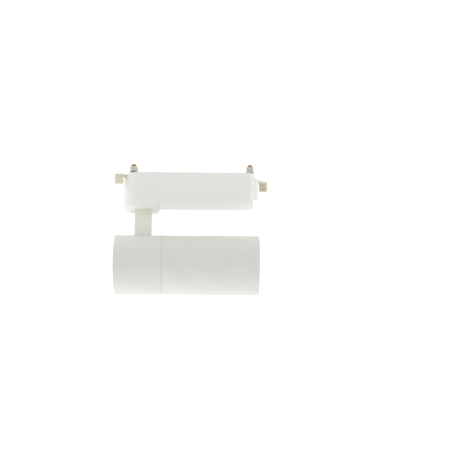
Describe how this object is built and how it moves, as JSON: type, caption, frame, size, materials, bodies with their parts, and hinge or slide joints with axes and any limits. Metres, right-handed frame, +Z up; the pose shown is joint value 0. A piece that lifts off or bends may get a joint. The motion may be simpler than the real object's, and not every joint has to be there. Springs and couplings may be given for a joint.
{
  "type": "track spotlight",
  "caption": "White track spotlight: driver box with quarter-turn locks under a rail, a flat arm that pans below it, and a round head held by its rear part that tilts down.",
  "frame": {"origin": "on the pan axis, in the plane where the top of the driver box meets the underside of the rail", "axes": "+Z up into the rail, +X along the rail and the direction of the light at rest, +Y across the rail"},
  "size_m": [0.1574, 0.0608, 0.1354],
  "materials": {
    "white_plastic": "warm white moulded polycarbonate, fine satin texture",
    "ivory_nylon": "ivory nylon, satin",
    "white_paint": "white matte powder coat over die-cast aluminium",
    "plated_steel": "zinc-plated steel",
    "spring_steel": "bare spring steel, lightly oiled",
    "copper_alloy": "tinned copper alloy contact strip",
    "circuit_board": "green solder mask on glass epoxy",
    "ferrite": "dark grey ferrite",
    "winding_tape": "yellow polyester tape over copper winding",
    "black_plastic": "black moulded plastic",
    "capacitor_sleeve": "dark blue shrink sleeve on an aluminium can",
    "cable_sheath": "white cable sheath",
    "red_sheath": "red wire sheath",
    "blue_sheath": "blue wire sheath",
    "friction_fibre": "dark fibre friction washer",
    "bare_aluminium": "bare extruded aluminium",
    "bright_aluminium": "bright anodised spun aluminium",
    "phosphor": "yellow phosphor layer",
    "clear_glass": "clear toughened glass"
  },
  "bodies": {
    "adapter": {"adapter_housing": "white_plastic", "adapter_lid": "white_plastic", "lid_screw_left": "plated_steel", "lid_screw_right": "plated_steel", "driver_board": "circuit_board", "transformer_core": "ferrite", "transformer_winding": "winding_tape", "input_capacitor": "capacitor_sleeve", "output_capacitor": "capacitor_sleeve", "rectifier": "black_plastic", "output_choke": "ferrite", "terminal_block": "white_plastic", "live_wire": "red_sheath", "neutral_wire": "blue_sheath", "output_wire": "cable_sheath"},
    "left_lock": {"left_lever": "ivory_nylon", "left_lock_plate": "plated_steel", "left_contact_carrier": "ivory_nylon", "left_contact_blade": "copper_alloy", "left_cap_screw": "plated_steel", "left_retaining_clip": "spring_steel"},
    "right_lock": {"right_lever": "ivory_nylon", "right_lock_plate": "plated_steel", "right_contact_carrier": "ivory_nylon", "right_contact_blade": "copper_alloy", "right_cap_screw": "plated_steel", "right_retaining_clip": "spring_steel"},
    "arm": {"swivel_disc": "white_paint", "pan_tube": "plated_steel", "pan_stop_washer": "plated_steel", "pan_spring_washer": "spring_steel", "pan_nut": "plated_steel", "arm": "white_paint", "arm_cover": "white_paint", "arm_wire": "cable_sheath"},
    "head": {"rear_housing": "white_paint", "rear_screw_near": "plated_steel", "rear_screw_far": "plated_steel", "friction_washer_near": "friction_fibre", "friction_washer_far": "friction_fibre", "axle_washer_near": "plated_steel", "axle_washer_far": "plated_steel", "tilt_axle": "plated_steel", "axle_nut": "plated_steel", "front_housing": "white_paint", "heat_sink": "bare_aluminium", "sink_screw_upper": "plated_steel", "sink_screw_lower": "plated_steel", "led_board": "bare_aluminium", "led_emitter": "phosphor", "led_holder": "white_plastic", "reflector": "bright_aluminium", "front_glass": "clear_glass", "glare_ring": "black_plastic", "head_wire": "cable_sheath"}
  },
  "joints": [
    {"name": "left_lock_turn", "type": "hinge", "parent": "adapter", "child": "left_lock", "pos_m": [-0.0105, 0, 0], "axis": [0, 0, 1], "range_deg": [-90, 0]},
    {"name": "right_lock_turn", "type": "hinge", "parent": "adapter", "child": "right_lock", "pos_m": [0.1095, 0, 0], "axis": [0, 0, 1], "range_deg": [-90, 0]},
    {"name": "pan", "type": "hinge", "parent": "adapter", "child": "arm", "pos_m": [0, 0, -0.0365], "axis": [0, 0, 1], "range_deg": [-170, 170]},
    {"name": "tilt", "type": "hinge", "parent": "arm", "child": "head", "pos_m": [0, 0, -0.0935], "axis": [0, 1, 0], "range_deg": [0, 90]}
  ]
}
